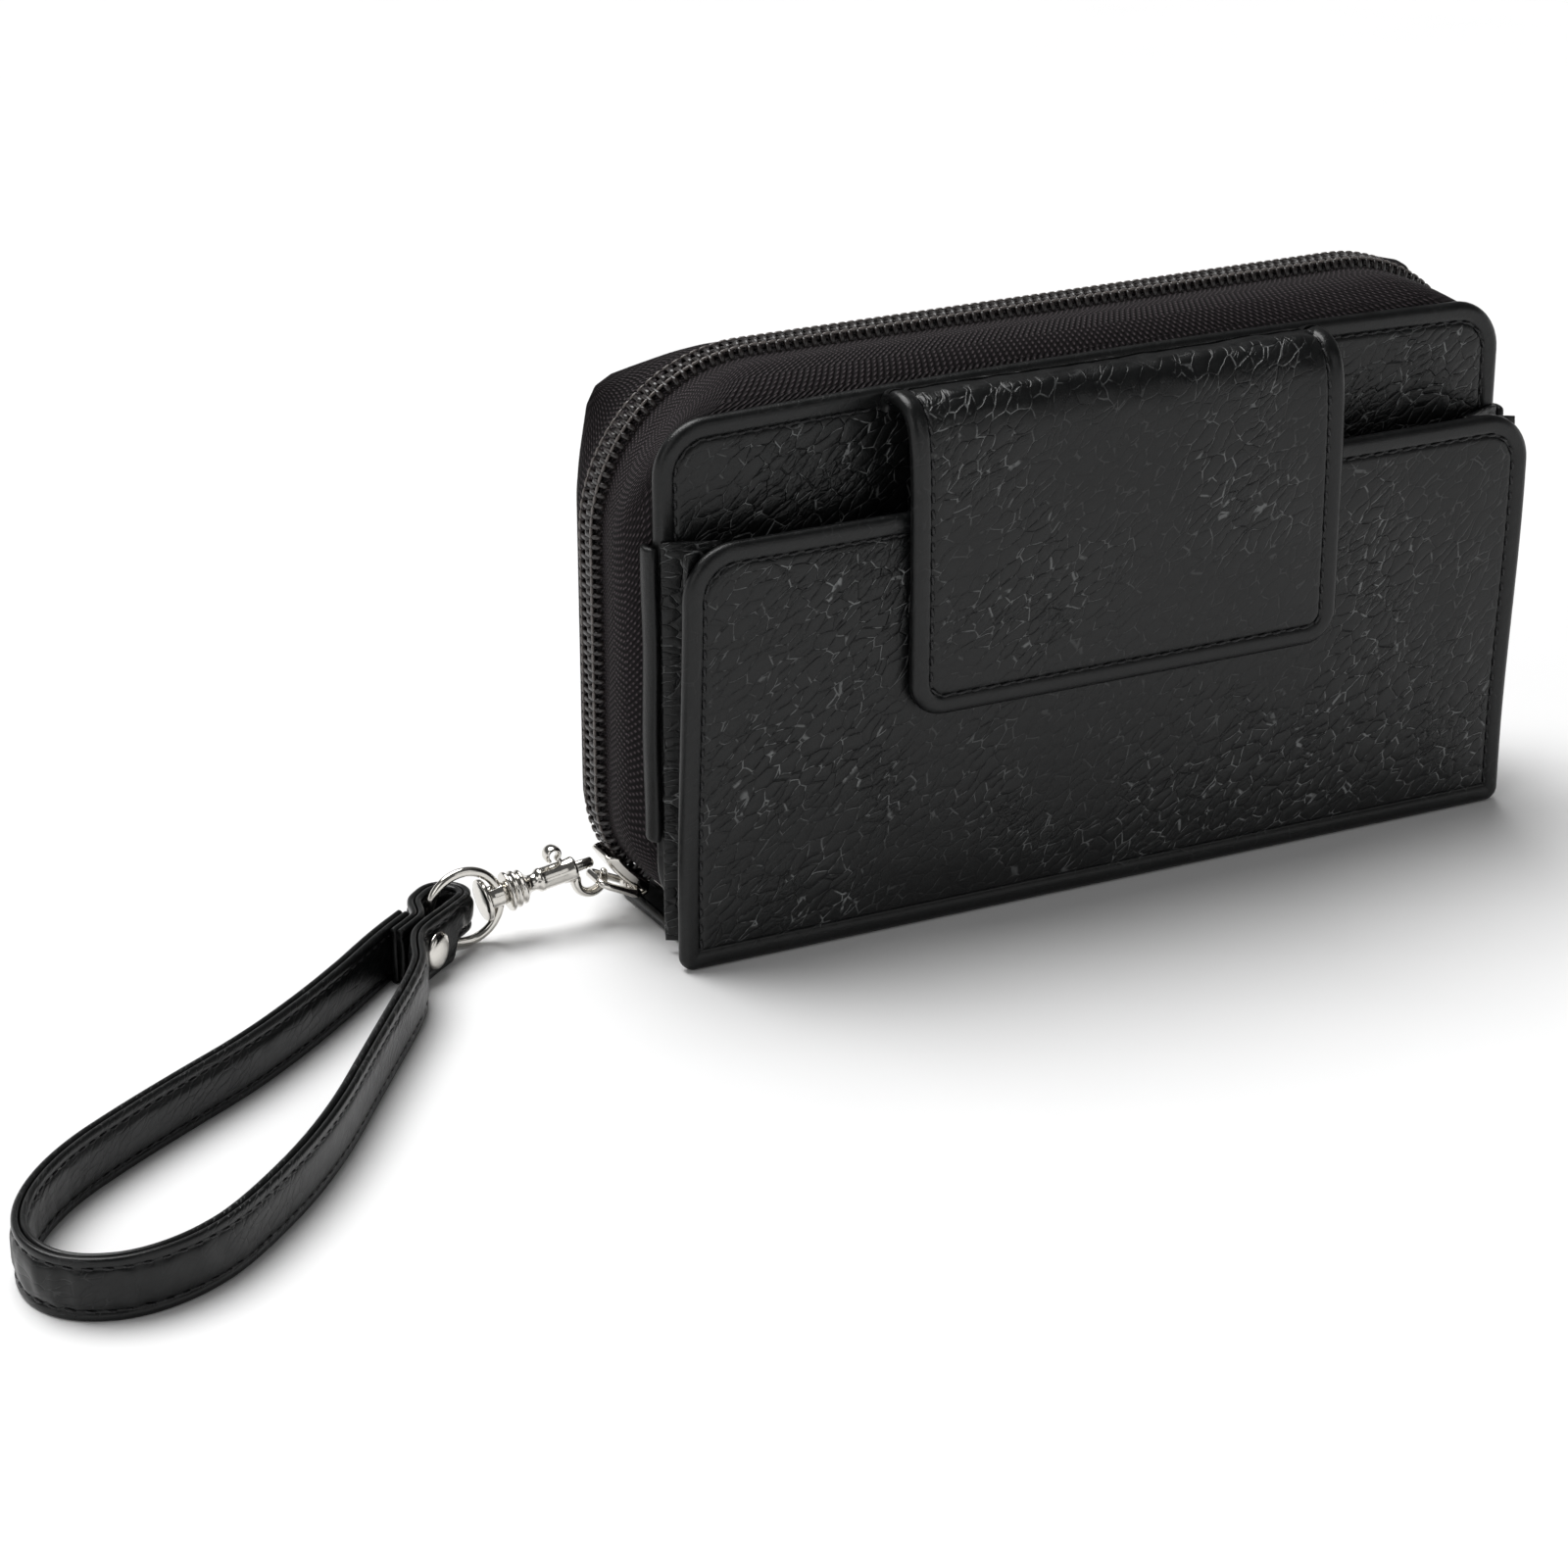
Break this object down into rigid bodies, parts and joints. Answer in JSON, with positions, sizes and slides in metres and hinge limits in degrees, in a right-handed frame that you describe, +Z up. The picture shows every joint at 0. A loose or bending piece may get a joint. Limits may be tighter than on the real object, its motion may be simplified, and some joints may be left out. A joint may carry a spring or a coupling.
{
  "type": "zip-around wristlet wallet",
  "caption": "Zip-around leather wallet with an outside pocket closed by a snap flap, inner card and coin pockets, and a clip-on wrist strap.",
  "frame": {"origin": "middle of the flat base the closed case stands on", "axes": "+Z up, +X along the case's length, the outside pocket faces -Y and the wrist strap leaves towards -X"},
  "size_m": [0.2943, 0.1045, 0.0965],
  "materials": {
    "leather": "pebbled, semi-gloss",
    "lining": "woven, matt",
    "zip_tape": "herringbone woven, matt",
    "zip_coil": "semi-gloss",
    "board": "matt",
    "nickel": "polished nickel plate"
  },
  "bodies": {
    "front_half": {"base_panel": "leather", "base_lining": "lining", "pocket_panel": "leather", "pocket_lining": "lining", "pocket_gusset_left": "leather", "pocket_gusset_right": "leather", "snap_socket": "nickel", "socket_washer": "nickel", "front_cover": "leather", "front_board": "board", "front_lining": "lining", "front_tape": "zip_tape", "front_coil": "zip_coil", "rear_tape_end_left": "zip_tape", "rear_tape_end_right": "zip_tape", "rear_coil_end_left": "zip_coil", "rear_coil_end_right": "zip_coil", "zip_stops": "nickel", "card_pocket_tall": "leather", "card_pocket_middle": "leather", "card_pocket_short": "leather"},
    "rear_half": {"rear_cover": "leather", "rear_board": "board", "rear_lining": "lining", "rear_tape": "zip_tape", "rear_coil": "zip_coil", "bill_pocket": "leather", "rear_card_pocket_tall": "leather", "rear_card_pocket_short": "leather"},
    "flap_bridge": {"flap_bridge": "leather"},
    "flap": {"flap_panel": "leather", "flap_lining": "lining", "snap_stud": "nickel", "stud_washer": "nickel"},
    "coin_pocket": {"coin_pocket_front": "lining", "coin_pocket_back": "lining", "coin_zip_tape": "zip_tape", "coin_zip_chain": "zip_coil"},
    "coin_slider": {"coin_slider": "nickel"},
    "coin_pull": {"coin_pull": "nickel"},
    "zip_slider": {"slider_body": "nickel"},
    "pull_ring": {"pull_ring": "nickel"},
    "snap_hook": {"hook_body": "nickel", "bolt_spring": "nickel"},
    "hook_bolt": {"hook_bolt": "nickel"},
    "swivel_ring": {"swivel_ring": "nickel"},
    "wrist_strap": {"strap_outer": "leather", "strap_inner": "leather", "strap_rivet": "nickel", "rivet_cap": "nickel"}
  },
  "joints": [
    {"name": "rear_open", "type": "hinge", "parent": "front_half", "child": "rear_half", "pos_m": [0, 0.0192, 0], "axis": [-1, 0, 0], "range_deg": [0, 90]},
    {"name": "coin_lean", "type": "hinge", "parent": "front_half", "child": "coin_pocket", "pos_m": [0, 0.0072, 0.0036], "axis": [-1, 0, 0], "range_deg": [0, 45]},
    {"name": "flap_lift", "type": "hinge", "parent": "front_half", "child": "flap_bridge", "pos_m": [0, -0.01135, 0.0892], "axis": [-1, 0, 0], "range_deg": [0, 90]},
    {"name": "flap_fold", "type": "hinge", "parent": "flap_bridge", "child": "flap", "pos_m": [0, -0.021, 0.0892], "axis": [-1, 0, 0], "range_deg": [0, 90]},
    {"name": "coin_slide", "type": "slide", "parent": "coin_pocket", "child": "coin_slider", "axis": [1, 0, 0], "range_m": [0, 0.116]},
    {"name": "coin_pull_swing", "type": "hinge", "parent": "coin_slider", "child": "coin_pull", "pos_m": [-0.058, 0.0014, 0.0766], "axis": [1, 0, 0], "range_deg": [-30, 0]},
    {"name": "zip_slide", "type": "hinge", "parent": "front_half", "child": "zip_slider", "pos_m": [-0.0657, 0.0073, 0.0224], "axis": [0, 1, 0], "range_deg": [-5, 38]},
    {"name": "pull_swing", "type": "hinge", "parent": "zip_slider", "child": "pull_ring", "pos_m": [-0.07795, 0.0073, 0.00424], "axis": [0, 1, 0], "range_deg": [-50, 0]},
    {"name": "hook_swing", "type": "hinge", "parent": "pull_ring", "child": "snap_hook", "pos_m": [-0.08482, 0.0073, 0.00752], "axis": [0, 1, 0], "range_deg": [-35, 8]},
    {"name": "bolt_slide", "type": "slide", "parent": "snap_hook", "child": "hook_bolt", "axis": [-0.9877, 0, -0.1564], "range_m": [0, 0.0026], "stiffness_N_per_m": 700, "springref_m": -0.0015, "deforming": ["bolt_spring"]},
    {"name": "ring_turn", "type": "hinge", "parent": "snap_hook", "child": "swivel_ring", "pos_m": [-0.1021, 0.0073, 0.00797], "axis": [0.9877, 0, 0.1564], "continuous": true},
    {"name": "strap_swing", "type": "hinge", "parent": "swivel_ring", "child": "wrist_strap", "pos_m": [-0.11346, 0.0073, 0.007], "axis": [0, 0, 1], "range_deg": [-95, 28]}
  ],
  "couplings": [
    {"joint": "coin_lean", "follows": "rear_open", "ratio": 0.5},
    {"joint": "flap_fold", "follows": "flap_lift", "ratio": 1}
  ]
}
